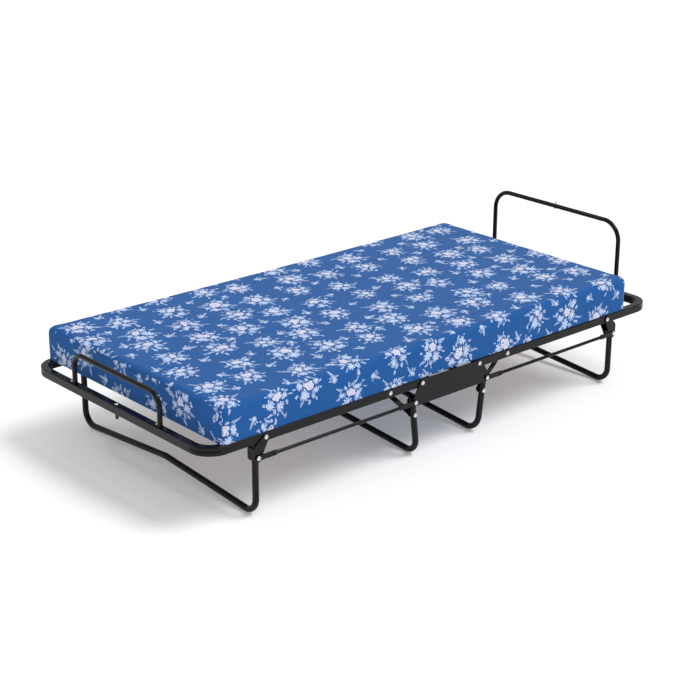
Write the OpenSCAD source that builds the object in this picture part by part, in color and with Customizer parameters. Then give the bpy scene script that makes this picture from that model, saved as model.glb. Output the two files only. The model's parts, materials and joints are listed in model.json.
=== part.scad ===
// Folding cot: a steel frame in two halves that fold up about a low centre unit,
// with U-shaped legs driven by the fold, a slatted deck and a foam mattress.
// +X runs from the foot end to the head end, +Y to the far side, +Z up.
// The origin is at floor level, under the middle of the whole object.

/* [Overall] */
// Width over the two side rails
frame_w = 900; // [750:10:1100]
// Height of the side rails' axis above the floor
rail_z = 245; // [200:5:300]
// Distance from a centre hinge to the axis of the foot end rail
foot_reach = 822; // [650:1:1000]
// Extra reach of the head half, so that its hoop folds past the foot end rail
head_extra = 26; // [22:1:40]

/* [Side rails] */
// Width of the rail tube, across the cot
rail_w = 25; // [20:1:35]
// Height of the rail tube
rail_h = 28; // [22:1:36]
// Wall of the rail tube
rail_wall = 1.5; // [1:0.1:2.5]
// Radius of the rail tube's long edges
rail_edge_r = 3; // [2:0.5:5]
// Bend radius of the frame corners, on the tube axis
rail_bend_r = 62; // [45:1:90]
// Length of rail that runs past the centre hinge
rail_tail = 14; // [10:1:20]

/* [Centre unit] */
// Thickness of the side plates
plate_t = 3; // [2:0.5:5]
// Corner radius of the side plates
plate_r = 13; // [10:1:14]
// Drop from the centre hinge to the mid leg pivot
pivot_drop = 56; // [48:1:70]
// Outward step from the centre hinge to the mid leg pivot
pivot_step = 32; // [28:1:40]
// Diameter of the two cross tubes
cross_d = 20; // [16:1:24]
// Distance from the middle to each cross tube
cross_x = 62; // [45:1:75]
// Drop from the rails' axis to the cross tubes' axis
cross_drop = 17; // [12:1:30]

/* [Legs] */
// Diameter of the leg tubes
leg_d = 20; // [16:1:22]
// Wall of the leg tubes
leg_wall = 1.5; // [1:0.1:2.5]
// Bend radius at the feet, on the tube axis
leg_bend_r = 45; // [35:1:60]
// Slope of the two halves of each crosspiece, in degrees
leg_slope = 4.4; // [2:0.1:8]
// Bend radius in the middle of each crosspiece
leg_crown_r = 60; // [40:1:90]
// Distance from the foot end rail's axis back to the foot leg hinge
leg_setback = 202; // [170:1:240]
// Inward lean of the mid legs, in degrees
mid_lean = 7; // [4:0.5:10]
// Length of mid leg tube above its pivot
mid_top = 14; // [11:1:18]

/* [Linkage] */
// Distance from a centre hinge to the link rivet on the rail
link_reach = 132; // [120:1:145]
// Distance from the mid leg pivot down the leg to the link stud
link_drop = 46; // [42:1:52]
// Width of the link bars
link_w = 16; // [12:1:20]
// Thickness of the link bars
link_t = 4; // [3:0.5:5]
// Diameter of the rods
rod_d = 11; // [9:0.5:11]
// Wall of the rods
rod_wall = 1.5; // [1:0.1:2]
// Thickness of the rods' flattened ends
rod_end_t = 4; // [3:0.5:4.5]
// Width of the rods' flattened ends
rod_end_w = 16; // [14:1:20]
// Thickness of the end leg brackets
ear_t = 3; // [2:0.5:3.5]
// Corner radius of the end leg brackets
ear_r = 11; // [9:1:13]

/* [Rivets] */
// Diameter of the rivet shanks
rivet_d = 8; // [6:0.5:10]
// Diameter of the rivet heads
rivet_head_d = 14; // [12:1:16]
// Height of the rivet heads
rivet_head_t = 3; // [2:0.5:3.5]
// Radial clearance of every hole on its rivet
pivot_clear = 0.05; // [0.02:0.01:0.1]
// Side clearance between two flat pieces that turn on each other
side_gap = 0.5; // [0.4:0.1:1]

/* [Hoops] */
// Diameter of both hoops' tube
hoop_d = 16; // [12:1:18]
// Wall of the hoops' tube
hoop_wall = 1.5; // [1:0.1:2]
// Distance between the foot hoop's posts
foot_hoop_w = 440; // [350:10:520]
// Height of the foot hoop's bar above the rail axis
foot_hoop_h = 113; // [90:1:115]
// Bend radius of the foot hoop
foot_hoop_r = 45; // [30:1:60]
// Distance between the head hoop's posts
head_hoop_w = 590; // [500:10:680]
// Height of the head hoop's bar above the rail axis
head_hoop_h = 258; // [200:1:300]
// Bend radius of the head hoop
head_hoop_r = 68; // [45:1:90]
// Diameter of the hoops' fixing screws
screw_d = 5; // [4:0.5:6]
// Diameter of the strap studs
stud_d = 6; // [5:0.5:8]

/* [Slats] */
// Width of a slat
slat_w = 54; // [45:1:60]
// Thickness of a slat
slat_t = 8; // [6:1:9]
// Wall of the plastic slat caps
cap_wall = 2; // [1.5:0.5:3]
// Depth of the slat caps, inward from the rail
cap_depth = 28; // [20:1:40]
// Number of slats between the link rivet and the end leg hinge
slat_count = 5; // [3:1:5]

/* [Mattress] */
// Inset of the mattress from the rails' outer faces, on each side
mattress_inset = 5; // [0:1:15]
// Thickness of the mattress
mattress_t = 108; // [80:1:140]
// Gap from the foot end rail's axis to the mattress
mattress_foot_gap = 47; // [30:1:70]
// Gap from the head end rail's axis to the mattress
mattress_head_gap = 118; // [60:1:140]
// Clearance under the mattress, above the rails
mattress_lift = 3; // [2:0.5:5]
// Gap left between the two mattress halves when both are folded up
fold_gap = 1; // [0.5:0.5:6]

/* [Hidden] */
$fn = 64;

FOOT = -1;
HEAD = 1;
NEAR = -1;
FAR = 1;

// Everything is laid out from the middle of the centre unit, then shifted so that
// the longer head half leaves the origin under the middle of the whole object.
origin_x = -head_extra / 2;
head_reach = foot_reach + head_extra;

// Heights are measured from the rails' axis.
mattress_low = rail_h / 2 + mattress_lift;
mattress_top = mattress_low + mattress_t;
hinge_half = mattress_top + fold_gap / 2;

mattress_w = frame_w - 2 * mattress_inset;
mattress_foot = foot_reach - mattress_foot_gap;
mattress_head = head_reach - mattress_head_gap;

// Both end legs hinge at the same distance, so that the two halves' rods match.
leg_reach = foot_reach - leg_setback;

// Small fixed sizes: clips on the mid legs, low rivet heads, screws, studs and nut.
clip_t = 2.5;
clip_r = 11;
low_head_t = 2;
low_head_gap = 0.4;
tab_t = 2.5;
screw_length = 8;
stud_below = 14;
stud_above = 9;
nut_t = 18;
nut_d = 2 * stud_d;
stud_head_d = 1.8 * stud_d;

// Thin steps that keep round and straight stretches from meeting in one edge.
band_w = 1;
band_t = 0.1;
strap_step = 0.1;

// Faces of the near side's layers, as distances from the middle of the cot.
rail_out = frame_w / 2;
rail_in = rail_out - rail_w;
rail_y = rail_out - rail_w / 2;
plate_in = rail_out + side_gap;
plate_out = plate_in + plate_t;
rod_in = plate_out + side_gap;
rod_out = rod_in + rod_end_t;
rod_y = rod_in + rod_end_t / 2;
head_seat = rod_out + side_gap;
leg_y = rail_out - leg_d / 2;
leg_in = rail_out - leg_d;
clip_in = leg_in - clip_t;
link_out = min(rail_in, clip_in - low_head_gap - low_head_t) - side_gap;
link_in = link_out - link_t;
ear_in = link_out - ear_t;

hole_d = rivet_d + 2 * pivot_clear;
inner_head_d = rivet_head_d - 2;
overlap = 8;
// The rods stay flat past the mid legs' studs, which lie against them when folded.
rod_stud_gap = 3;
rod_flat = link_drop + rivet_head_d / 2 + overlap + rod_stud_gap;
far_out = 2 * frame_w;

leg_clear = 2;
leg_top = -rail_h / 2 - leg_clear;
leg_drop = rail_z - leg_d / 2;
mid_drop = (rail_z - pivot_drop - leg_d / 2) / cos(mid_lean);

// A row of slats runs from the link rivets to the end leg hinges, and one lies beyond.
cap_gap = 0.5;
slat_top = mattress_low - cap_wall - cap_gap;
slat_clear = 70;
slat_row_start = link_reach + slat_clear;
slat_row_pitch = (leg_reach - slat_clear - slat_row_start) / (slat_count - 1);
slat_last = leg_reach + slat_clear;

frame_colour = "#1d1d20";
zinc_colour = "#b9bcc0";
wood_colour = "#c9a878";
cap_colour = "#26262a";
fabric_colour = "#3f6fb4";

// ---- placing ----

// Local frame of one half: X runs outward from its centre hinge, at rail height.
module half(end) {
    translate([origin_x, 0, rail_z])
        mirror([end == FOOT ? 1 : 0, 0, 0])
            translate([hinge_half, 0, 0])
                children();
}

// A near-side child, put on one side of the cot.
module on_side(side) {
    mirror([0, side == FAR ? 1 : 0, 0])
        children();
}

module both_sides() {
    for (side = [NEAR, FAR])
        on_side(side)
            children();
}

module at_mid_pivot() {
    translate([pivot_step, 0, -pivot_drop])
        children();
}

// Local frame of a mid leg: Z runs up its leaning tube, from its pivot.
module lean() {
    at_mid_pivot()
        rotate([0, mid_lean, 0])
            children();
}

// ---- small shapes ----

module ring(d, wall) {
    difference() {
        circle(d = d);
        circle(d = d - 2 * wall);
    }
}

module round_box(w, h, r) {
    square([w - 2 * r, h], center = true);
    square([w, h - 2 * r], center = true);
    for (x = [-1, 1], y = [-1, 1])
        translate([x * (w / 2 - r), y * (h / 2 - r)])
            circle(r);
}

module rail_outline() {
    round_box(rail_w, rail_h, rail_edge_r);
}

module rail_hollow() {
    round_box(rail_w - 2 * rail_wall, rail_h - 2 * rail_wall, rail_edge_r - rail_wall / 2);
}

// A flat strap with round ends, from the origin to a point.
module strap(end, r) {
    circle(r);
    translate(end)
        circle(r);
    rotate(atan2(end[1], end[0]))
        translate([0, strap_step - r])
            square([norm(end), 2 * (r - strap_step)]);
}

// A polygon grown by a radius, with round corners.
module round_polygon(points, r) {
    polygon(points);
    for (i = [0 : len(points) - 1])
        translate(points[i])
            strap(points[(i + 1) % len(points)] - points[i], r);
}

// A flat piece standing along the cot, drawn in X and Z, between two near-side faces.
module sheet(y_out, y_in) {
    translate([0, -y_in, 0])
        rotate([90, 0, 0])
            linear_extrude(y_out - y_in)
                children();
}

// A round bar or hole across the cot, between two near-side faces.
module cross_bar(y_out, y_in, d) {
    sheet(y_out, y_in)
        circle(d = d);
}

module cross_hole(d) {
    rotate([90, 0, 0])
        cylinder(h = far_out, d = d, center = true);
}

module dome(d, t) {
    sphere_r = (d * d / 4 + t * t) / (2 * t);
    rotate_extrude()
        intersection() {
            translate([0, t - sphere_r])
                circle(sphere_r, $fn = 96);
            square([d / 2, t]);
        }
}

// A rivet across the cot: its shank runs between two near-side faces, heads outside them.
module rivet(y_out, y_in, inner_head_t = rivet_head_t) {
    cross_bar(y_out, y_in, rivet_d);
    translate([0, -y_out, 0])
        rotate([90, 0, 0])
            dome(rivet_head_d, rivet_head_t);
    translate([0, -y_in, 0])
        rotate([-90, 0, 0])
            dome(inner_head_d, inner_head_t);
}

// Straight and bent stretches of tube in the YZ plane.
module in_yz() {
    rotate([90, 0, 90])
        children();
}

module run(u, v, angle, length, d, wall) {
    translate([u, v, 0])
        rotate([0, 0, angle])
            rotate([0, 90, 0])
                linear_extrude(length)
                    ring(d, wall);
}

module bend(u, v, r, from, to, d, wall) {
    translate([u, v, 0])
        rotate([0, 0, from])
            rotate_extrude(angle = to - from)
                translate([r, 0])
                    ring(d, wall);
}

// A thin band round the line where two stretches of tube meet at a slant.
module band(u, v, angle, d, wall) {
    run(u - band_w / 2 * cos(angle), v - band_w / 2 * sin(angle), angle, band_w,
        d + 2 * band_t, wall + 2 * band_t);
}

// One side of a U-shaped leg, from its top down to the middle of its crosspiece.
// drop is the depth of the tube axis at the foot.
module half_leg(top, drop) {
    u_bend = -(leg_y - leg_bend_r);
    v_bend = -(drop - leg_bend_r);
    u_foot = u_bend + leg_bend_r * sin(leg_slope);
    v_foot = v_bend - leg_bend_r * cos(leg_slope);
    u_crown = -leg_crown_r * sin(leg_slope);
    length = (u_crown - u_foot) / cos(leg_slope);
    v_crown = v_foot + length * sin(leg_slope) - leg_crown_r * cos(leg_slope);
    in_yz() {
        run(-leg_y, v_bend, 90, top - v_bend, leg_d, leg_wall);
        bend(u_bend, v_bend, leg_bend_r, 180, 270 + leg_slope, leg_d, leg_wall);
        band(u_foot, v_foot, leg_slope, leg_d, leg_wall);
        run(u_foot, v_foot, leg_slope, length, leg_d, leg_wall);
        band(u_crown, v_crown + leg_crown_r * cos(leg_slope), leg_slope, leg_d, leg_wall);
        bend(0, v_crown, leg_crown_r, 90, 90 + leg_slope, leg_d, leg_wall);
    }
}

module u_leg(top, drop) {
    both_sides()
        half_leg(top, drop);
}

// ---- centre unit ----

module center_plate(side) {
    corners = [
        [-hinge_half, 0], [-hinge_half - pivot_step, -pivot_drop],
        [hinge_half + pivot_step, -pivot_drop], [hinge_half, 0]
    ];
    color(frame_colour)
        translate([origin_x, 0, rail_z])
            on_side(side)
                difference() {
                    sheet(plate_out, plate_in)
                        round_polygon(corners, plate_r);
                    for (p = corners)
                        translate([p[0], 0, p[1]])
                            cross_hole(hole_d);
                }
}

module center_cross_tube(end) {
    color(frame_colour)
        translate([origin_x + end * cross_x, plate_in, rail_z - cross_drop])
            rotate([90, 0, 0])
                linear_extrude(2 * plate_in)
                    ring(cross_d, leg_wall);
}

module center_hinge_rivets() {
    color(zinc_colour)
        for (end = [FOOT, HEAD])
            half(end)
                both_sides()
                    rivet(plate_out, link_out);
}

module mid_leg_pivot_rivets() {
    color(zinc_colour)
        for (end = [FOOT, HEAD])
            half(end)
                both_sides()
                    at_mid_pivot()
                        rivet(head_seat, clip_in - low_head_gap, low_head_t);
}

// ---- folding halves ----

module straight_rail(reach) {
    length = rail_tail + reach - rail_bend_r;
    translate([-rail_tail, -rail_y, 0])
        rotate([90, 0, 90])
            difference() {
                linear_extrude(length)
                    rail_outline();
                translate([0, 0, -1])
                    linear_extrude(length + 1)
                        rail_hollow();
            }
}

// A corner bend, with the groove that bending presses into its outer face.
module corner_rail(reach) {
    groove_r = 2.4;
    translate([reach - rail_bend_r, -(rail_y - rail_bend_r), 0])
        rotate([0, 0, -90])
            rotate_extrude(angle = 90)
                translate([rail_bend_r, 0])
                    difference() {
                        rail_outline();
                        translate([-groove_r / 2, 0])
                            round_box(rail_w - 2 * rail_wall - groove_r, rail_h - 2 * rail_wall,
                                rail_edge_r - rail_wall / 2);
                        translate([rail_w / 2, 0])
                            circle(groove_r);
                    }
}

module end_rail(reach) {
    half_length = rail_y - rail_bend_r;
    translate([reach, half_length, 0])
        rotate([90, 0, 0])
            linear_extrude(2 * half_length)
                difference() {
                    rail_outline();
                    rail_hollow();
                }
}

module section_frame(end, reach, hoop_w) {
    color(frame_colour)
        half(end)
            difference() {
                union() {
                    both_sides() {
                        straight_rail(reach);
                        corner_rail(reach);
                    }
                    end_rail(reach);
                }
                for (x = [0, link_reach, leg_reach])
                    translate([x, 0, 0])
                        cross_hole(hole_d);
                for (y = [-1, 1])
                    translate([reach, y * hoop_w / 2 + hoop_d, 0])
                        cylinder(h = rail_h, d = screw_d + 2 * pivot_clear);
                if (end == FOOT)
                    translate([reach, 0, 0])
                        cylinder(h = 2 * rail_h, d = stud_d + 2 * pivot_clear, center = true);
            }
}

module at_slats() {
    row = [for (i = [0 : slat_count - 1]) slat_row_start + i * slat_row_pitch];
    for (x = concat(row, [slat_last]))
        translate([x, 0, slat_top - slat_t / 2])
            children();
}

module section_slats(end) {
    color(wood_colour)
        half(end)
            at_slats()
                cube([slat_w, 2 * (rail_in - cap_wall), slat_t], center = true);
}

module section_slat_caps(end) {
    color(cap_colour)
        half(end)
            both_sides()
                at_slats()
                    difference() {
                        translate([-slat_w / 2 - cap_wall, -rail_in, -slat_t / 2 - cap_wall])
                            cube([slat_w + 2 * cap_wall, cap_depth, slat_t + 2 * cap_wall]);
                        translate([-slat_w / 2, -rail_in + cap_wall, -slat_t / 2])
                            cube([slat_w, cap_depth, slat_t]);
                    }
}

module section_hoop(end, reach, w, h, r, bored) {
    foot = rail_h / 2;
    color(frame_colour)
        half(end)
            translate([reach, 0, 0])
                difference() {
                    union() {
                        both_sides()
                            in_yz() {
                                run(-w / 2, foot, 90, h - r - foot, hoop_d, hoop_wall);
                                bend(-w / 2 + r, h - r, r, 90, 180, hoop_d, hoop_wall);
                                run(-w / 2 + r, h, 0, w / 2 - r, hoop_d, hoop_wall);
                            }
                        for (y = [-1, 1])
                            translate([0, y * w / 2, foot])
                                hoop_tab();
                    }
                    if (bored)
                        translate([0, 0, h - hoop_d])
                            cylinder(h = 2 * hoop_d, d = stud_d + 2 * pivot_clear);
                }
}

// The flat foot welded to a hoop post, beside it on the rail.
module hoop_tab() {
    linear_extrude(tab_t)
        difference() {
            strap([0, hoop_d], hoop_d / 2 - 1);
            circle(d = hoop_d - 2 * hoop_wall);
            translate([0, hoop_d])
                circle(d = screw_d + 2 * pivot_clear);
        }
}

module section_hoop_screws(end, reach, w) {
    color(zinc_colour)
        half(end)
            for (y = [-1, 1])
                translate([reach, y * w / 2 + hoop_d, rail_h / 2 + tab_t]) {
                    dome(2 * screw_d, screw_d / 2);
                    translate([0, 0, -screw_length])
                        cylinder(h = screw_length, d = screw_d);
                }
}

module foot_strap_stud() {
    color(zinc_colour)
        half(FOOT)
            translate([foot_reach, 0, 0]) {
                translate([0, 0, rail_h / 2])
                    dome(2 * stud_d, stud_d / 2);
                translate([0, 0, -rail_h / 2 - stud_below])
                    cylinder(h = rail_h + stud_below, d = stud_d);
            }
}

module foot_strap_nut() {
    color(cap_colour)
        half(FOOT)
            translate([foot_reach, 0, -rail_h / 2 - nut_t])
                difference() {
                    cylinder(h = nut_t, d = nut_d, $fn = 6);
                    translate([0, 0, -1])
                        cylinder(h = nut_t + 2, d = stud_d + 2 * pivot_clear);
                }
}

module head_strap_stud() {
    color(zinc_colour)
        half(HEAD)
            translate([head_reach, 0, head_hoop_h - hoop_d / 2]) {
                cylinder(h = hoop_d + stud_above, d = stud_d);
                mirror([0, 0, 1])
                    dome(stud_head_d, stud_d / 2);
            }
}

module section_link_rivets(end) {
    color(zinc_colour)
        half(end)
            both_sides()
                translate([link_reach, 0, 0])
                    rivet(rail_out, link_in - side_gap);
}

module section_leg_rivets(end) {
    color(zinc_colour)
        half(end)
            both_sides()
                translate([leg_reach, 0, 0])
                    rivet(plate_out + side_gap, ear_in - side_gap);
}

// ---- end legs ----

module end_leg(end) {
    color(frame_colour)
        half(end)
            translate([leg_reach + pivot_step, 0, 0])
                difference() {
                    u_leg(leg_top, leg_drop);
                    translate([0, 0, -pivot_drop])
                        cross_hole(hole_d);
                }
}

// The bracket is a folded channel: two ears that hold the rail between them,
// joined by a web on the outer side of the tube.
module leg_bracket(end, side) {
    tube = [pivot_step, leg_top - ear_r];
    low = [pivot_step, -pivot_drop - ear_r / 2];
    web_x = pivot_step + leg_d / 2;
    color(frame_colour)
        half(end)
            on_side(side)
                translate([leg_reach, 0, 0])
                    difference() {
                        union() {
                            for (faces = [[plate_out, plate_in], [link_out, ear_in]])
                                sheet(faces[0], faces[1])
                                    round_polygon([[0, 0], low, tube], ear_r);
                            translate([web_x, -plate_out, low[1]])
                                cube([ear_t, plate_out - ear_in, tube[1] - low[1]]);
                        }
                        cross_hole(hole_d);
                        translate([pivot_step, 0, -pivot_drop])
                            cross_hole(hole_d);
                    }
}

module rod_rivets(end) {
    color(zinc_colour)
        half(end)
            both_sides()
                translate([leg_reach + pivot_step, 0, -pivot_drop])
                    rivet(head_seat, ear_in);
}

// ---- mid legs ----

module mid_leg(end) {
    color(frame_colour)
        half(end)
            lean()
                difference() {
                    u_leg(mid_top, mid_drop);
                    cross_hole(hole_d);
                    translate([0, 0, -link_drop])
                        cross_hole(hole_d);
                }
}

module mid_leg_clips(end) {
    color(frame_colour)
        half(end)
            lean()
                both_sides()
                    difference() {
                        sheet(leg_in, clip_in)
                            strap([0, -link_drop], clip_r);
                        cross_hole(hole_d);
                        translate([0, 0, -link_drop])
                            cross_hole(hole_d);
                    }
}

module mid_leg_studs(end) {
    color(zinc_colour)
        half(end)
            lean()
                both_sides()
                    translate([0, 0, -link_drop])
                        rivet(rail_out, clip_in, low_head_t);
}

// ---- rods and links ----

module rod(end, side) {
    color(frame_colour)
        half(end)
            on_side(side)
                at_mid_pivot()
                    difference() {
                        union() {
                            translate([rod_flat - overlap, -rod_y, 0])
                                rotate([0, 90, 0])
                                    cylinder(h = leg_reach - 2 * (rod_flat - overlap), d = rod_d);
                            for (x = [0, leg_reach - rod_flat])
                                translate([x, 0, 0])
                                    sheet(rod_out, rod_in)
                                        strap([rod_flat, 0], rod_end_w / 2);
                        }
                        translate([rod_flat + overlap, -rod_y, 0])
                            rotate([0, 90, 0])
                                cylinder(h = leg_reach - 2 * (rod_flat + overlap),
                                    d = rod_d - 2 * rod_wall);
                        for (x = [0, leg_reach])
                            translate([x, 0, 0])
                                cross_hole(hole_d);
                    }
}

// The link's lower end in the half's frame, on the axis of the leaning mid leg.
link_end = [
    pivot_step - link_drop * sin(mid_lean) - link_reach,
    -pivot_drop - link_drop * cos(mid_lean)
];

module link(end, side) {
    color(frame_colour)
        half(end)
            on_side(side)
                translate([link_reach, 0, 0])
                    difference() {
                        sheet(link_out, link_in)
                            strap(link_end, link_w / 2);
                        cross_hole(hole_d);
                        translate([link_end[0], 0, link_end[1]])
                            cross_hole(hole_d);
                    }
}

module link_end_rivets(end) {
    color(zinc_colour)
        half(end)
            both_sides()
                translate([link_reach + link_end[0], 0, link_end[1]]) {
                    cross_bar(link_out, link_in, rivet_d);
                    translate([0, -link_in, 0])
                        rotate([-90, 0, 0])
                            dome(inner_head_d, rivet_head_t);
                }
}

// ---- mattress ----

module mattress_block(points) {
    color(fabric_colour)
        translate([0, mattress_w / 2, 0])
            rotate([90, 0, 0])
                linear_extrude(mattress_w)
                    polygon(points);
}

// The stretch that stays level on the centre unit, mitred towards both hinges.
module mattress_center() {
    low = hinge_half - mattress_low;
    top = hinge_half - mattress_top;
    translate([origin_x, 0, rail_z])
        mattress_block([
            [-low, mattress_low], [low, mattress_low], [top, mattress_top], [-top, mattress_top]
        ]);
}

// The stretch that folds up with one half, mitred towards its hinge.
module mattress_half(end, length) {
    half(end)
        mattress_block([
            [mattress_low, mattress_low], [length, mattress_low],
            [length, mattress_top], [mattress_top, mattress_top]
        ]);
}

// The foam over one hinge, which is squeezed between the two mitres by the fold.
module mattress_bend(end) {
    skin = 0.3;
    half(end)
        mattress_block([
            [0, mattress_low], [mattress_low - skin, mattress_low],
            [mattress_top - skin, mattress_top], [skin - mattress_top, mattress_top],
            [skin - mattress_low, mattress_low]
        ]);
}

center_plate(NEAR);  // center_plate_near
center_plate(FAR);  // center_plate_far
center_cross_tube(FOOT);  // center_cross_tube_foot
center_cross_tube(HEAD);  // center_cross_tube_head
center_hinge_rivets();
mid_leg_pivot_rivets();
mattress_center();
section_frame(FOOT, foot_reach, foot_hoop_w);  // foot_frame
section_slats(FOOT);  // foot_slats
section_slat_caps(FOOT);  // foot_slat_caps
section_hoop(FOOT, foot_reach, foot_hoop_w, foot_hoop_h, foot_hoop_r, false);  // foot_hoop
section_hoop_screws(FOOT, foot_reach, foot_hoop_w);  // foot_hoop_screws
foot_strap_stud();
foot_strap_nut();
section_link_rivets(FOOT);  // foot_link_rivets
section_leg_rivets(FOOT);  // foot_leg_rivets
mattress_half(FOOT, mattress_foot);
mattress_bend(FOOT);  // mattress_bend_foot
section_frame(HEAD, head_reach, head_hoop_w);  // head_frame
section_slats(HEAD);  // head_slats
section_slat_caps(HEAD);  // head_slat_caps
section_hoop(HEAD, head_reach, head_hoop_w, head_hoop_h, head_hoop_r, true);  // head_hoop
section_hoop_screws(HEAD, head_reach, head_hoop_w);  // head_hoop_screws
head_strap_stud();
section_link_rivets(HEAD);  // head_link_rivets
section_leg_rivets(HEAD);  // head_leg_rivets
mattress_half(HEAD, mattress_head);
mattress_bend(HEAD);  // mattress_bend_head
end_leg(FOOT);  // foot_leg
leg_bracket(FOOT, NEAR);  // foot_leg_bracket_near
leg_bracket(FOOT, FAR);  // foot_leg_bracket_far
rod_rivets(FOOT);  // foot_rod_rivets
end_leg(HEAD);  // head_leg
leg_bracket(HEAD, NEAR);  // head_leg_bracket_near
leg_bracket(HEAD, FAR);  // head_leg_bracket_far
rod_rivets(HEAD);  // head_rod_rivets
mid_leg(FOOT);  // foot_mid_leg
mid_leg_clips(FOOT);  // foot_mid_leg_clips
mid_leg_studs(FOOT);  // foot_mid_leg_studs
mid_leg(HEAD);  // head_mid_leg
mid_leg_clips(HEAD);  // head_mid_leg_clips
mid_leg_studs(HEAD);  // head_mid_leg_studs
rod(FOOT, NEAR);  // foot_rod_near
rod(FOOT, FAR);  // foot_rod_far
rod(HEAD, NEAR);  // head_rod_near
rod(HEAD, FAR);  // head_rod_far
link(FOOT, NEAR);  // foot_link_near
link(FOOT, FAR);  // foot_link_far
link_end_rivets(FOOT);  // foot_link_end_rivets
link(HEAD, NEAR);  // head_link_near
link(HEAD, FAR);  // head_link_far
link_end_rivets(HEAD);  // head_link_end_rivets
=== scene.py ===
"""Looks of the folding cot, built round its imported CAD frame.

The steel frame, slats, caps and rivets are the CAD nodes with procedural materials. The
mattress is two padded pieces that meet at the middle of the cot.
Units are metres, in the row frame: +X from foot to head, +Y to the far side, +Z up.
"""
import json
import math

import bmesh
import bpy
from mathutils import Matrix, Vector


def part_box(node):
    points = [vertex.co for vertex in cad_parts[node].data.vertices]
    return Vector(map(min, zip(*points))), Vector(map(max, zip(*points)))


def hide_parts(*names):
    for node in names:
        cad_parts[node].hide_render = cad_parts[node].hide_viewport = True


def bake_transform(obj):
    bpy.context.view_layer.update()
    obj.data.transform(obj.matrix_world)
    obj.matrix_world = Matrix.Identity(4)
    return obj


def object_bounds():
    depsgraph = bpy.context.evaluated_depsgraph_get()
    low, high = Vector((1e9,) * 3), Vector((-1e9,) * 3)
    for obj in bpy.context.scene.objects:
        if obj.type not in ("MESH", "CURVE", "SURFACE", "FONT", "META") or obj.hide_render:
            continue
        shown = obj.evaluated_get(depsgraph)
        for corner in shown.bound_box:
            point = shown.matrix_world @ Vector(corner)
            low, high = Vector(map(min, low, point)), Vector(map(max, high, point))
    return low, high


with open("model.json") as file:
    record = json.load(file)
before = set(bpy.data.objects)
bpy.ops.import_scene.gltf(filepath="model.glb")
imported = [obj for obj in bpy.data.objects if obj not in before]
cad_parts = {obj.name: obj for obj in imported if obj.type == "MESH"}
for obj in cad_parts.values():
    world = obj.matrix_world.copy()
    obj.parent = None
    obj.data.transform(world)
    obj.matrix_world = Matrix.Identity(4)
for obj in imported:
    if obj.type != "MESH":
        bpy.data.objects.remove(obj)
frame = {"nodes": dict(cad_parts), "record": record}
cad_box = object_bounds()

# ---- driving values ----

# Places in metres, angles in radians, lens and sensor in millimetres.
CAMERA_PLACE = (-3.498, -3.862, 2.184)
CAMERA_YAW = math.radians(48.411)
CAMERA_PITCH = math.radians(-20.953)
CAMERA_ROLL = 0.0028
CAMERA_LENS = 86.3
CAMERA_SHIFT = (0.0116, -0.0004)
SENSOR_WIDTH = 36.0
VIEW_DEPTH = 200.0

FLOOR_HALF = 40.0
FLOOR_DROP = 0.0004
FLOOR_COLOUR = (0.86, 0.86, 0.87)
FLOOR_ROUGHNESS = 0.9
FLOOR_GLOW = 0.16
SKY_STRENGTH = 0.60
SUN_STRENGTH = 1.95
SUN_SOFTNESS = math.radians(30)
SUN_TILT = (math.radians(22), math.radians(26), 0.0)
GLINT_STRENGTH = 0.22
GLINT_SOFTNESS = math.radians(5)
GLINT_TILT = (math.radians(-34), math.radians(-24), 0.0)

# The rounding of the mattress, and its seams.
EDGE_R = 0.016
FOOT_CORNER_R = 0.014
HEAD_CORNER_R = 0.034
ROUND_STEPS = 8
SEAM_INSET = EDGE_R * (1 - math.sqrt(0.5))
SEAM_W = 0.003

# DECK_REACH and SIDE_ROOM take the pad past its CAD solid, so that no light shows beside it. The
# pad then takes in up to 1.7 mm of the slat caps' tops.
# DECK_SINK is how much deeper its form starts, before it is pressed flat on the deck.
DECK_SINK = 0.022
DECK_REACH = 0.0022
SIDE_ROOM = 0.004
FAR_WAIST = 0.012
SHRINK = 0.002
CROWN_LIMIT = 0.001

# The cloth simulation that fills the cover.
VOXEL = 0.010
CLOTH_FRAMES = 20
CLOTH_PRESSURE = 4.0
CLOTH_REACH = 0.006
CLOTH_QUALITY = 5
CLOTH_MASS = 0.4
CLOTH_TENSION = 12
CLOTH_COMPRESSION = 6
CLOTH_BENDING = 0.6

# How far the end panels and the underside are shifted on the print, to show flowers of their own.
END_SHIFT = 3.0
UNDER_SHIFT = 3.0

# From what upright part of its normal a face looks up or down, and how close points agree.
FACING_UP = 0.9
FACING_DOWN = -0.7
SAME_PLACE = 1e-5

# The printed cloth.
BOUQUET_PITCH = (0.156, 0.126)
BOUQUET_R = 0.065
SPRIG_R = 0.026
LATTICE_TURN = math.radians(14)
LATTICE_LOOSE = 0.30
WEAVE_PITCH = 0.0011
FABRIC_BLUE = (0.013, 0.102, 0.335)
FABRIC_BLUE_DEEP = (0.009, 0.085, 0.300)
CLOTH_HAZE = (1.0, 0.96, 0.60)
PETAL_WHITE = (0.70, 0.79, 0.95)
PETAL_LILAC = (0.38, 0.51, 0.82)
ROSE_PINK = (0.74, 0.70, 0.84)

PAINT_BLACK = (0.0045, 0.0042, 0.0052)
PAINT_WORN = (0.024, 0.023, 0.025)
ZINC_GREY = (0.62, 0.63, 0.65)
ZINC_BRIGHT = (0.86, 0.86, 0.85)
WOOD_DARK = (0.46, 0.28, 0.13)
WOOD_PALE = (0.68, 0.50, 0.29)
WOOD_PORE = (0.28, 0.16, 0.07)
PLASTIC_DARK = (0.014, 0.014, 0.015)
PLASTIC_PALE = (0.024, 0.024, 0.025)


# ---- shader graph helper ----

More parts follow.
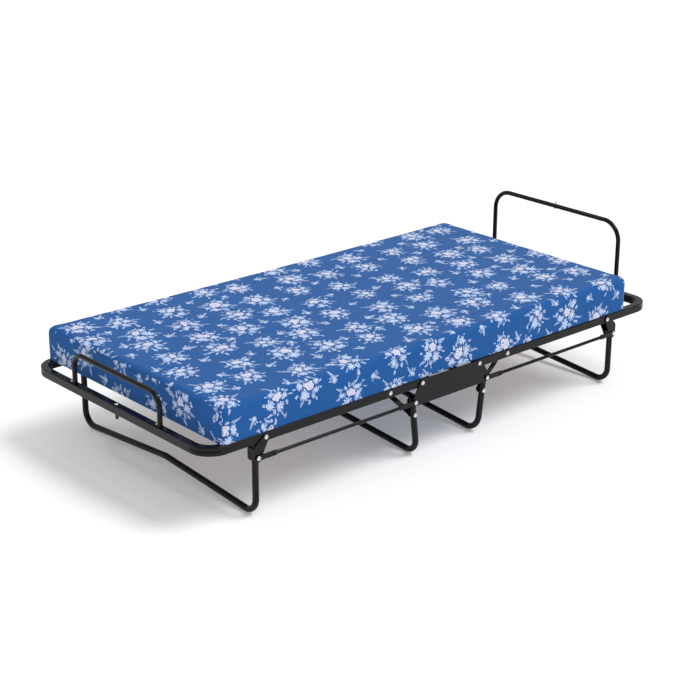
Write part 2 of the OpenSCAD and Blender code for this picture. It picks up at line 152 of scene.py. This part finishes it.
class Graph:
    """Adds shader nodes to one tree and links them, in short calls."""

    def __init__(self, tree):
        self.tree = tree

    def set(self, socket, value):
        if isinstance(value, bpy.types.NodeSocket):
            self.tree.links.new(value, socket)
        elif isinstance(socket.default_value, (int, float)):
            socket.default_value = value
        else:
            value = tuple(value)
            wanted = len(socket.default_value)
            socket.default_value = value + (1.0,) * (wanted - len(value))

    def node(self, kind, settings=None, **inputs):
        made = self.tree.nodes.new(kind)
        for name, value in (settings or {}).items():
            setattr(made, name, value)
        for name, value in inputs.items():
            self.set(made.inputs[name.replace("_", " ")], value)
        return made

    def math(self, operation, *values, clamp=False):
        made = self.node("ShaderNodeMath", {"operation": operation, "use_clamp": clamp})
        for socket, value in zip(made.inputs, values):
            self.set(socket, value)
        return made.outputs[0]

    def vector(self, operation, *values):
        made = self.node("ShaderNodeVectorMath", {"operation": operation})
        for socket, value in zip(made.inputs, values):
            self.set(socket, value)
        return made.outputs["Value" if operation == "LENGTH" else "Vector"]

    def split(self, vector):
        made = self.node("ShaderNodeSeparateXYZ", Vector=vector)
        return made.outputs

    def mix(self, factor, low, high):
        made = self.node("ShaderNodeMix", {"data_type": "RGBA"})
        self.set(made.inputs["Factor"], factor)
        self.set(made.inputs[6], low)
        self.set(made.inputs[7], high)
        return made.outputs[2]

    def step(self, value, start, end):
        """0 before start and 1 after end, smooth between them."""
        made = self.node("ShaderNodeMapRange", {"interpolation_type": "SMOOTHSTEP"}, Value=value)
        self.set(made.inputs["From Min"], start)
        self.set(made.inputs["From Max"], end)
        return made.outputs["Result"]

    def noise(self, vector, scale, detail=2.0, rough=0.5):
        made = self.node("ShaderNodeTexNoise", Vector=vector, Scale=scale, Detail=detail)
        self.set(made.inputs["Roughness"], rough)
        return made.outputs["Fac"]

    def noise_vector(self, vector, scale, detail=1.0):
        made = self.node("ShaderNodeTexNoise", Vector=vector, Scale=scale, Detail=detail)
        return made.outputs["Color"]

    def local(self, vector, place, turn, size):
        """vector in the frame of a shape at place, turned and sized."""
        made = self.node("ShaderNodeMapping", {"vector_type": "TEXTURE"}, Vector=vector)
        self.set(made.inputs["Location"], (place[0], place[1], 0))
        self.set(made.inputs["Rotation"], (0, 0, turn))
        self.set(made.inputs["Scale"], (size[0], size[1], 1))
        return made.outputs["Vector"]

    def bump(self, height, distance, strength=1.0, below=None):
        made = self.node("ShaderNodeBump", Height=height, Distance=distance, Strength=strength)
        if below is not None:
            self.set(made.inputs["Normal"], below)
        return made.outputs["Normal"]


def new_material(name):
    """A material with one Principled shader, as (material, graph, shader)."""
    material = bpy.data.materials.new(name)
    material.use_nodes = True
    material.node_tree.nodes.clear()
    graph = Graph(material.node_tree)
    shader = graph.node("ShaderNodeBsdfPrincipled")
    out = graph.node("ShaderNodeOutputMaterial")
    graph.set(out.inputs["Surface"], shader.outputs["BSDF"])
    return material, graph, shader


def place_of(graph):
    """The point on the surface, in the part's own frame, in metres."""
    return graph.node("ShaderNodeTexCoord").outputs["Object"]


# ---- hard materials ----

def painted_steel():
    """Black stove enamel on tube: orange peel, dust in the gloss, and pale scuffs."""
    material, graph, shader = new_material("painted_steel")
    place = place_of(graph)
    dust = graph.noise(place, scale=9.0, detail=5.0, rough=0.6)
    fine = graph.noise(place, scale=160.0, detail=3.0, rough=0.6)
    scuff = graph.step(graph.noise(place, scale=55.0, detail=6.0, rough=0.72), start=0.66, end=0.76)
    tone = graph.mix(graph.math("MULTIPLY", scuff, 0.55), PAINT_BLACK, PAINT_WORN)
    graph.set(shader.inputs["Base Color"], tone)
    gloss = graph.math("MULTIPLY_ADD", dust, 0.14, 0.09)
    rough = graph.math("MULTIPLY_ADD", scuff, 0.25, gloss)
    graph.set(shader.inputs["Roughness"], rough)
    peel = graph.bump(graph.noise(place, scale=420.0, detail=2.0), distance=0.0001, strength=0.30)
    lumps = graph.bump(fine, distance=0.0003, strength=0.20, below=peel)
    graph.set(shader.inputs["Normal"], lumps)
    shader.inputs["Specular IOR Level"].default_value = 0.20
    return material


def zinc_steel():
    """Bright zinc plate with fine turning marks and a little grey bloom."""
    material, graph, shader = new_material("zinc_steel")
    place = place_of(graph)
    bloom = graph.noise(place, scale=220.0, detail=4.0, rough=0.6)
    graph.set(shader.inputs["Base Color"], graph.mix(bloom, ZINC_GREY, ZINC_BRIGHT))
    graph.set(shader.inputs["Roughness"], graph.math("MULTIPLY_ADD", bloom, 0.25, 0.16))
    marks = graph.noise(graph.vector("MULTIPLY", place, (1.0, 8.0, 1.0)), scale=900.0, detail=2.0)
    graph.set(shader.inputs["Normal"], graph.bump(marks, distance=0.0001, strength=0.4))
    shader.inputs["Metallic"].default_value = 1.0
    return material


def slat_wood():
    """Pale birch, with grain along the slats and a thin lacquer."""
    material, graph, shader = new_material("slat_wood")
    place = place_of(graph)
    along = graph.vector("MULTIPLY", place, (60.0, 2.2, 60.0))
    warp = graph.noise_vector(graph.vector("MULTIPLY", place, (9.0, 1.0, 9.0)), scale=1.0)
    swirl = graph.vector("MULTIPLY", warp, (3, 3, 3))
    grain = graph.noise(graph.vector("ADD", along, swirl), scale=1.0, detail=6.0, rough=0.62)
    pores = graph.noise(graph.vector("MULTIPLY", place, (900.0, 24.0, 900.0)), scale=1.0, detail=2.0)
    tone = graph.mix(graph.step(grain, start=0.3, end=0.7), WOOD_DARK, WOOD_PALE)
    pits = graph.math("MULTIPLY", graph.step(pores, start=0.58, end=0.70), 0.5)
    dark = graph.mix(pits, tone, WOOD_PORE)
    graph.set(shader.inputs["Base Color"], dark)
    graph.set(shader.inputs["Roughness"], graph.math("MULTIPLY_ADD", grain, 0.25, 0.34))
    ridges = graph.bump(grain, distance=0.0004, strength=0.4)
    graph.set(shader.inputs["Normal"], graph.bump(pores, distance=0.0002, strength=0.5, below=ridges))
    shader.inputs["Coat Weight"].default_value = 0.15
    return material


def cap_plastic():
    """Moulded black polypropylene with a spark-eroded grain."""
    material, graph, shader = new_material("cap_plastic")
    place = place_of(graph)
    spark = graph.noise(place, scale=900.0, detail=3.0, rough=0.7)
    cloud = graph.noise(place, scale=30.0, detail=3.0)
    graph.set(shader.inputs["Base Color"], graph.mix(cloud, PLASTIC_DARK, PLASTIC_PALE))
    graph.set(shader.inputs["Roughness"], graph.math("MULTIPLY_ADD", spark, 0.2, 0.42))
    graph.set(shader.inputs["Normal"], graph.bump(spark, distance=0.0002, strength=0.5))
    return material


# ---- printed fabric ----

def leaf(graph, place, x, y, turn, length, width):
    """How far place is out from a leaf's middle: 1 on its edge, and over 1 on its rib."""
    inside = graph.local(place, (x, y), turn, (length, width))
    side = graph.math("ABSOLUTE", graph.split(inside)[1])
    rib = graph.math("MULTIPLY_ADD", side, -4.0, 1.5)
    return graph.math("MAXIMUM", graph.vector("LENGTH", inside), rib)


def blossom(graph, place, x, y, turn, radius, petals, gap):
    """As leaf, for a flower whose petals part at its rim."""
    inside = graph.local(place, (x, y), turn, (radius, radius))
    parts = graph.split(inside)
    angle = graph.math("ARCTAN2", parts[1], parts[0])
    wave = graph.math("ABSOLUTE", graph.math("COSINE", graph.math("MULTIPLY", angle, petals / 2)))
    reach = graph.math("MULTIPLY_ADD", wave, gap, 1 - gap)
    return graph.math("DIVIDE", graph.vector("LENGTH", inside), reach)


def spray(graph, place, x, y, turn, length, leaflets):
    """As leaf, for a fern: leaflets on both sides of a stem, shorter towards its tip."""
    inside = graph.local(place, (x, y), turn, (length, length))
    parts = graph.split(inside)
    side = graph.math("ABSOLUTE", parts[1])
    swept = graph.math("MULTIPLY_ADD", side, -1.2, parts[0])
    beat = graph.math("ABSOLUTE", graph.math("SINE", graph.math("MULTIPLY", swept, math.pi * leaflets)))
    taper = graph.math("MULTIPLY_ADD", parts[0], -0.20, 0.26)
    across = graph.math("DIVIDE", side, graph.math("MAXIMUM", taper, 0.02))
    between = graph.math("MULTIPLY_ADD", beat, -1.6, 2.1)
    leaflet = graph.math("MAXIMUM", across, between)
    drawn = graph.math("MINIMUM", leaflet, graph.math("DIVIDE", side, 0.03))
    ends = graph.math("ABSOLUTE", graph.math("MULTIPLY_ADD", parts[0], 2.0, -1.0))
    return graph.math("MAXIMUM", drawn, ends)


def smallest(graph, values):
    """The least of several shader values."""
    least = values[0]
    for value in values[1:]:
        least = graph.math("MINIMUM", least, value)
    return least


def motif_group(name, outputs):
    """A node group that draws on its Vector input, as (group, graph, place, output node)."""
    group = bpy.data.node_groups.new(name, "ShaderNodeTree")
    group.interface.new_socket("Vector", in_out="INPUT", socket_type="NodeSocketVector")
    for output in outputs:
        group.interface.new_socket(output, in_out="OUTPUT", socket_type="NodeSocketFloat")
    graph = Graph(group)
    place = graph.node("NodeGroupInput").outputs["Vector"]
    return group, graph, place, graph.node("NodeGroupOutput")


def bouquet_group():
    """A rose among daisies, leaves and fern sprays, in a disc of radius 1."""
    group, graph, place, out = motif_group("bouquet", ("White", "Rose"))
    rose_place = (0.05, 0.20)
    rose_r = 0.27
    rose_turn = 0.3
    rose = blossom(graph, place, *rose_place, rose_turn, rose_r, 5, 0.22)
    inside = graph.local(place, rose_place, rose_turn, (rose_r, rose_r))
    parts = graph.split(inside)
    angle = graph.math("ARCTAN2", parts[1], parts[0])
    around = graph.math("MULTIPLY", angle, 2.0)
    turns = graph.math("MULTIPLY_ADD", graph.vector("LENGTH", inside), 8.5, around)
    folds = graph.math("ABSOLUTE", graph.math("SINE", turns))

    # Daisies give x, y and radius; leaves x, y, turn, length and width; sprays x, y, turn and length.
    daisies = ((-0.32, -0.12, 0.30), (0.26, -0.32, 0.28), (0.52, 0.10, 0.22), (-0.38, 0.40, 0.23))
    leaves = ((-0.06, -0.52, 4.5, 0.18, 0.10), (0.12, 0.62, 1.4, 0.14, 0.07),
              (-0.10, 0.62, 1.9, 0.13, 0.06), (0.34, 0.50, 0.8, 0.14, 0.07),
              (-0.72, 0.12, 3.2, 0.13, 0.055), (-0.68, 0.56, 2.5, 0.11, 0.05),
              (0.74, -0.14, 5.9, 0.13, 0.055), (-0.38, -0.56, 4.1, 0.14, 0.065),
              (0.04, -0.82, 4.9, 0.13, 0.07), (0.60, -0.44, 5.5, 0.12, 0.05))
    sprays = ((-0.52, -0.30, 3.6, 0.42), (0.50, 0.36, 0.55, 0.48), (-0.16, 0.56, 2.3, 0.42))
    drawn = smallest(graph, [
        *(blossom(graph, place, x, y, x + y, r, 10, 0.62) for x, y, r in daisies),
        *(leaf(graph, place, *shape) for shape in leaves),
        *(spray(graph, place, x, y, turn, length, 5.0) for x, y, turn, length in sprays),
    ])
    apart = graph.step(rose, start=1.12, end=1.24)
    petals = graph.step(rose, start=1.04, end=0.94)
    heart = graph.math("MULTIPLY", petals, graph.step(folds, start=0.16, end=0.42))
    white = graph.step(drawn, start=1.00, end=0.86)
    graph.set(out.inputs["White"], graph.math("MULTIPLY", white, apart))
    graph.set(out.inputs["Rose"], heart)
    return group


def sprig_group():
    """A daisy with a fern and a few leaves, in a disc of radius 1."""
    group, graph, place, out = motif_group("sprig", ("White",))
    drawn = smallest(graph, [
        blossom(graph, place, 0.34, -0.34, 0.2, 0.38, 8, 0.60),
        spray(graph, place, 0.20, -0.20, 2.3, 1.20, 5.0),
        leaf(graph, place, -0.20, -0.52, 3.6, 0.20, 0.09),
        leaf(graph, place, 0.62, 0.22, 1.1, 0.24, 0.10),
        leaf(graph, place, 0.30, 0.34, 1.9, 0.20, 0.09),
    ])
    graph.set(out.inputs["White"], graph.step(drawn, start=1.1, end=0.9))
    return group


def scattered(graph, cloth, shift, motif, radius, lean):
    """A motif group printed once in each cell of a loose lattice.

    Returns its node and the distance from the motif's middle, in motif radii.
    """
    across, up = BOUQUET_PITCH
    turned = graph.node("ShaderNodeVectorRotate", {"rotation_type": "Z_AXIS"}, Vector=cloth)
    turned.inputs["Angle"].default_value = LATTICE_TURN
    even = graph.vector("MULTIPLY_ADD", turned.outputs[0], (1 / across, 1 / up, 0), shift)
    cells = graph.node("ShaderNodeTexVoronoi", {"voronoi_dimensions": "2D"}, Vector=even)
    cells.inputs["Scale"].default_value = 1.0
    cells.inputs["Randomness"].default_value = LATTICE_LOOSE
    offset = graph.vector("SUBTRACT", even, cells.outputs["Position"])
    chance = graph.split(cells.outputs["Color"])
    spin = graph.math("MULTIPLY_ADD", chance[0], 2 * lean, -lean - LATTICE_TURN)
    metres = graph.vector("MULTIPLY", offset, (across / radius, up / radius, 0))
    spun = graph.node("ShaderNodeVectorRotate", {"rotation_type": "Z_AXIS"}, Vector=metres, Angle=spin)
    flip = graph.math("MULTIPLY_ADD", graph.math("GREATER_THAN", chance[1], 0.5), 2.0, -1.0)
    growth = graph.math("MULTIPLY_ADD", chance[2], 0.25, 0.92)
    stretch = graph.node("ShaderNodeCombineXYZ", X=graph.math("MULTIPLY", flip, growth), Y=growth)
    drift = graph.noise_vector(cloth, scale=20.0, detail=3.0)
    wander = graph.vector("SUBTRACT", drift, (0.5, 0.5, 0.5))
    sketched = graph.vector("MULTIPLY_ADD", wander, (0.75, 0.75, 0.0), spun.outputs[0])
    place = graph.vector("MULTIPLY", sketched, stretch.outputs[0])
    printed = graph.node("ShaderNodeGroup", {"node_tree": motif}, Vector=place)
    return printed, graph.vector("LENGTH", place)


def mattress_fabric(seams):
    """Blue cotton printed with white rose bouquets, in a plain weave, sewn at the seams, with painted
    shade in them.
    """
    material, graph, shader = new_material("mattress_fabric")
    cloth = graph.node("ShaderNodeUVMap", {"uv_map": "cloth"}).outputs["UV"]
    bouquet, reach = scattered(graph, cloth, (0, 0, 0), bouquet_group(), BOUQUET_R, 0.6)
    sprig, _ = scattered(graph, cloth, (0.5, 0.5, 0), sprig_group(), SPRIG_R, 3.1)
    stray = graph.math("MULTIPLY", sprig.outputs["White"], graph.step(reach, start=0.92, end=1.0))
    white = graph.math("MAXIMUM", bouquet.outputs["White"], stray)

    broken = graph.step(graph.noise(cloth, scale=430.0, detail=2.0), start=0.32, end=0.46)
    blue = graph.mix(graph.noise(cloth, scale=2.5, detail=3.0), FABRIC_BLUE_DEEP, FABRIC_BLUE)
    flecks = graph.noise(cloth, scale=260.0, detail=2.0)
    petal = graph.mix(graph.step(flecks, start=0.35, end=0.65), PETAL_LILAC, PETAL_WHITE)
    rose = graph.mix(graph.step(flecks, start=0.30, end=0.60), PETAL_WHITE, ROSE_PINK)
    printed = graph.mix(graph.math("MULTIPLY", white, broken), blue, petal)
    printed = graph.mix(bouquet.outputs["Rose"], printed, rose)

    parts = graph.split(cloth)
    gaps = [graph.math("ABSOLUTE", graph.math("SUBTRACT", parts[0], seam)) for seam in seams]
    seam_and_painted_shade = graph.step(smallest(graph, gaps), start=SEAM_W, end=0.0)
    # Painted shade: the cloth is darkened towards the deep blue along the seams, for the shade in their
    # groove.
    shaded = graph.mix(graph.math("MULTIPLY", seam_and_painted_shade, 0.45), printed, FABRIC_BLUE_DEEP)
    graph.set(shader.inputs["Base Color"], shaded)

    warp_wave, weft_wave = [
        graph.math("SINE", graph.math("MULTIPLY", part, 2 * math.pi / WEAVE_PITCH))
        for part in parts[:2]
    ]
    weave = graph.math("MULTIPLY", warp_wave, weft_wave)
    pulled = graph.vector("MULTIPLY", cloth, (1.0, 2.0, 1.0))
    creases = graph.noise(pulled, scale=7.0, detail=3.0, rough=0.55)
    soft = graph.bump(creases, distance=0.006, strength=0.35)
    tucked = graph.bump(graph.math("SUBTRACT", 1.0, seam_and_painted_shade), distance=0.002, strength=0.8, below=soft)
    graph.set(shader.inputs["Normal"], graph.bump(weave, distance=0.00012, strength=0.5, below=tucked))
    rough = graph.math("MULTIPLY_ADD", graph.noise(cloth, scale=90.0, detail=2.0), 0.12, 0.74)
    graph.set(shader.inputs["Roughness"], rough)
    shader.inputs["Sheen Weight"].default_value = 0.30
    shader.inputs["Sheen Tint"].default_value = (*CLOTH_HAZE, 1.0)
    shader.inputs["Sheen Roughness"].default_value = 0.30
    shader.inputs["Specular IOR Level"].default_value = 0.16
    return material


# ---- mattress ----

def rounded_block(low, high):
    """A closed box whose upright and top edges are rounded."""
    mesh = bmesh.new()
    bmesh.ops.create_cube(mesh, size=1.0)
    size = high - low
    middle = (low + high) / 2
    for v in mesh.verts:
        v.co = Vector([v.co[i] * size[i] + middle[i] for i in range(3)])

    def round_edges(radius, chosen):
        edges = [e for e in mesh.edges if chosen(e)]
        bmesh.ops.bevel(mesh, geom=edges, offset=radius, segments=ROUND_STEPS, profile=0.5,
                        affect="EDGES", clamp_overlap=False)

    def level(edge, height):
        return all(abs(v.co.z - height) < SAME_PLACE for v in edge.verts)

    def upright(edge, x):
        return not level(edge, edge.verts[0].co.z) and abs(edge.verts[0].co.x - x) < SAME_PLACE

    def top_rim(edge):
        return level(edge, high.z) and len({f.normal.z > FACING_UP for f in edge.link_faces}) == 2

    round_edges(FOOT_CORNER_R, lambda e: upright(e, low.x))
    round_edges(HEAD_CORNER_R, lambda e: upright(e, high.x))
    round_edges(EDGE_R, top_rim)
    data = bpy.data.meshes.new("mattress_form")
    mesh.to_mesh(data)
    mesh.free()
    made = bpy.data.objects.new("mattress_form", data)
    bpy.context.scene.collection.objects.link(made)
    return made


def bake_modifiers(piece):
    """Applies every modifier to the piece's mesh."""
    graph = bpy.context.evaluated_depsgraph_get()
    data = bpy.data.meshes.new_from_object(piece.evaluated_get(graph))
    old = piece.data
    piece.modifiers.clear()
    piece.data = data
    bpy.data.meshes.remove(old)


def remesh(piece, size):
    """Rebuilds the piece's mesh from even voxels."""
    modifier = piece.modifiers.new("remesh", "REMESH")
    modifier.mode = "VOXEL"
    modifier.voxel_size = size
    bake_modifiers(piece)


def inflate(piece):
    """Fills the cover by cloth simulation, with each point's move capped."""
    rest = [v.co.copy() for v in piece.data.vertices]
    modifier = piece.modifiers.new("cloth", "CLOTH")
    settings = modifier.settings
    settings.quality = CLOTH_QUALITY
    settings.mass = CLOTH_MASS
    settings.tension_stiffness = CLOTH_TENSION
    settings.compression_stiffness = CLOTH_COMPRESSION
    settings.bending_stiffness = CLOTH_BENDING
    settings.use_pressure = True
    settings.uniform_pressure_force = CLOTH_PRESSURE
    settings.effector_weights.gravity = 0
    modifier.collision_settings.use_collision = False
    modifier.point_cache.frame_start = 1
    modifier.point_cache.frame_end = CLOTH_FRAMES
    scene = bpy.context.scene
    for step in range(1, CLOTH_FRAMES + 1):
        scene.frame_set(step)
    bake_modifiers(piece)
    scene.frame_set(1)
    for v, start in zip(piece.data.vertices, rest):
        move = v.co - start
        if move.length > CLOTH_REACH:
            v.co = start + move * (CLOTH_REACH / move.length)


def settle(piece, low, high):
    """Fits the pad to its room, draws in its far edge, and presses it flat on its deck."""
    reach = [max(abs(v.co[i] - (low[i] + high[i]) / 2) for v in piece.data.vertices) for i in (0, 1)]
    middle = (low + high) / 2
    half = (high - low) / 2
    for v in piece.data.vertices:
        for i in (0, 1):
            v.co[i] = middle[i] + (v.co[i] - middle[i]) * half[i] / reach[i]
        along = 1 - ((v.co.x - middle.x) / half.x) ** 2
        v.co.y -= FAR_WAIST * along * max(v.co.y / high.y, 0.0) ** 2
        v.co.z = min(max(v.co.z, low.z), high.z + CROWN_LIMIT)


def lay_cloth(piece, low, high):
    """UVs in metres: one cloth over top, sides and bottom, with end panels sewn in."""
    arc = EDGE_R * math.pi / 2
    flat_half = high.y - EDGE_R

    def wrap(co):
        over = Vector((abs(co.y) - flat_half, co.z - (high.z - EDGE_R)))
        if over.x <= 0:
            distance = abs(co.y)
        elif over.y <= 0:
            distance = flat_half + arc - over.y
        else:
            distance = flat_half + EDGE_R * math.atan2(over.x, over.y)
        return co.x, math.copysign(distance, co.y)

    data = piece.data
    layer = data.uv_layers.new(name="cloth")
    for face in data.polygons:
        from_end = min(face.center.x - low.x, high.x - face.center.x)
        from_side = min(high.y - abs(face.center.y), high.z - face.center.z)
        end_panel = from_end < from_side
        under = face.normal.z < FACING_DOWN
        for corner in face.loop_indices:
            co = data.vertices[data.loops[corner].vertex_index].co
            if under:
                uv = (co.x, co.y + UNDER_SHIFT)
            elif end_panel:
                uv = (co.y + math.copysign(END_SHIFT, co.x), co.z)
            else:
                uv = wrap(co)
            layer.data[corner].uv = uv


def cut_half(piece, name, x, keep_high):
    """A copy of piece on one side of the plane at x, closed by a flat face."""
    made = piece.copy()
    made.data = piece.data.copy()
    made.name = name
    bpy.context.scene.collection.objects.link(made)
    mesh = bmesh.new()
    mesh.from_mesh(made.data)
    geometry = mesh.verts[:] + mesh.edges[:] + mesh.faces[:]
    cut = bmesh.ops.bisect_plane(mesh, geom=geometry, plane_co=(x, 0, 0), plane_no=(1, 0, 0),
                                 clear_inner=keep_high, clear_outer=not keep_high)
    rim = [e for e in cut["geom_cut"] if isinstance(e, bmesh.types.BMEdge)]
    caps = bmesh.ops.contextual_create(mesh, geom=rim)["faces"]
    for edge in rim:
        edge.smooth = False
    for face in caps:
        face.smooth = False
    bmesh.ops.triangulate(mesh, faces=caps)
    mesh.to_mesh(made.data)
    mesh.free()
    return made


def make_mattress():
    """The pad, as two covers that meet at the middle."""
    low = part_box("mattress_foot")[0] - Vector((0, SIDE_ROOM, DECK_REACH))
    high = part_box("mattress_head")[1] + Vector((0, SIDE_ROOM, 0))
    inset = Vector((SHRINK, SHRINK, 0.0))
    form = rounded_block(low + inset - Vector((0, 0, DECK_SINK)), high - inset)
    remesh(form, VOXEL)
    inflate(form)
    modifier = form.modifiers.new("smooth", "SUBSURF")
    modifier.levels = 1
    bake_modifiers(form)
    settle(form, low, high)
    form.data.polygons.foreach_set("use_smooth", [True] * len(form.data.polygons))
    lay_cloth(form, low, high)
    form.data.materials.append(mattress_fabric((low.x + SEAM_INSET, high.x - SEAM_INSET)))

    middle = (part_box("center_plate_near")[0].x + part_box("center_plate_near")[1].x) / 2
    for end, keep_high in (("foot", False), ("head", True)):
        piece = cut_half(form, f"mattress_cover_{end}", middle, keep_high)
        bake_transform(piece)
        nodes = [f"mattress_{end}", f"mattress_bend_{end}"]
        if keep_high:
            nodes.append("mattress_center")
        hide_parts(*nodes)
    bpy.data.objects.remove(form)


# ---- frame, studio and camera ----

def paint_frame():
    """Gives each CAD node the material of its slot."""
    makers = {
        "painted_steel": painted_steel(),
        "zinc_steel": zinc_steel(),
        "slat_wood": slat_wood(),
        "cap_plastic": cap_plastic(),
    }
    for row in frame["record"]["subparts"]:
        if row["material_slot"] in makers:
            node = frame["nodes"][row["node"]]
            node.data.materials.clear()
            node.data.materials.append(makers[row["material_slot"]])


def make_studio():
    """A plain pale floor with a little glow, an even white sky, and two lamps."""
    data = bpy.data.meshes.new("floor")
    half = FLOOR_HALF
    corners = [(-half, -half, 0), (half, -half, 0), (half, half, 0), (-half, half, 0)]
    data.from_pydata(corners, [], [(0, 1, 2, 3)])
    floor = bpy.data.objects.new("floor", data)
    floor.location.z = cad_box[0].z - FLOOR_DROP
    bpy.context.scene.collection.objects.link(floor)
    material, _, shader = new_material("studio_floor")
    shader.inputs["Base Color"].default_value = (*FLOOR_COLOUR, 1.0)
    shader.inputs["Roughness"].default_value = FLOOR_ROUGHNESS
    shader.inputs["Specular IOR Level"].default_value = 0.0
    shader.inputs["Emission Color"].default_value = (1.0, 1.0, 1.0, 1.0)
    shader.inputs["Emission Strength"].default_value = FLOOR_GLOW
    data.materials.append(material)

    world = bpy.data.worlds.new("studio")
    world.use_nodes = True
    sky = world.node_tree.nodes["Background"]
    sky.inputs["Color"].default_value = (1.0, 1.0, 1.0, 1.0)
    sky.inputs["Strength"].default_value = SKY_STRENGTH
    bpy.context.scene.world = world

    lamps = (
        ("key", SUN_STRENGTH, SUN_SOFTNESS, SUN_TILT),
        ("glint", GLINT_STRENGTH, GLINT_SOFTNESS, GLINT_TILT),
    )
    for name, strength, softness, tilt in lamps:
        lamp = bpy.data.lights.new(name, "SUN")
        lamp.energy = strength
        lamp.angle = softness
        source = bpy.data.objects.new(name, lamp)
        source.rotation_euler = tilt
        bpy.context.scene.collection.objects.link(source)


def make_camera():
    """A long lens on the near side, beyond the foot end, looking down at the cot."""
    data = bpy.data.cameras.new("camera")
    data.lens = CAMERA_LENS
    data.sensor_width = SENSOR_WIDTH
    data.shift_x, data.shift_y = CAMERA_SHIFT
    data.clip_end = VIEW_DEPTH
    camera = bpy.data.objects.new("camera", data)
    level = Vector((math.cos(CAMERA_YAW), math.sin(CAMERA_YAW), 0))
    ahead = level * math.cos(CAMERA_PITCH) + Vector((0, 0, math.sin(CAMERA_PITCH)))
    right = Vector((math.sin(CAMERA_YAW), -math.cos(CAMERA_YAW), 0))
    up = right.cross(ahead)
    right, up = (
        right * math.cos(CAMERA_ROLL) + up * math.sin(CAMERA_ROLL),
        up * math.cos(CAMERA_ROLL) - right * math.sin(CAMERA_ROLL),
    )
    turn = Matrix((right, up, -ahead)).transposed()
    camera.matrix_world = Matrix.Translation(CAMERA_PLACE) @ turn.to_4x4()
    bpy.context.scene.collection.objects.link(camera)
    bpy.context.scene.camera = camera
    bpy.context.scene.view_settings.view_transform = "Standard"


make_camera()
make_studio()
paint_frame()
make_mattress()
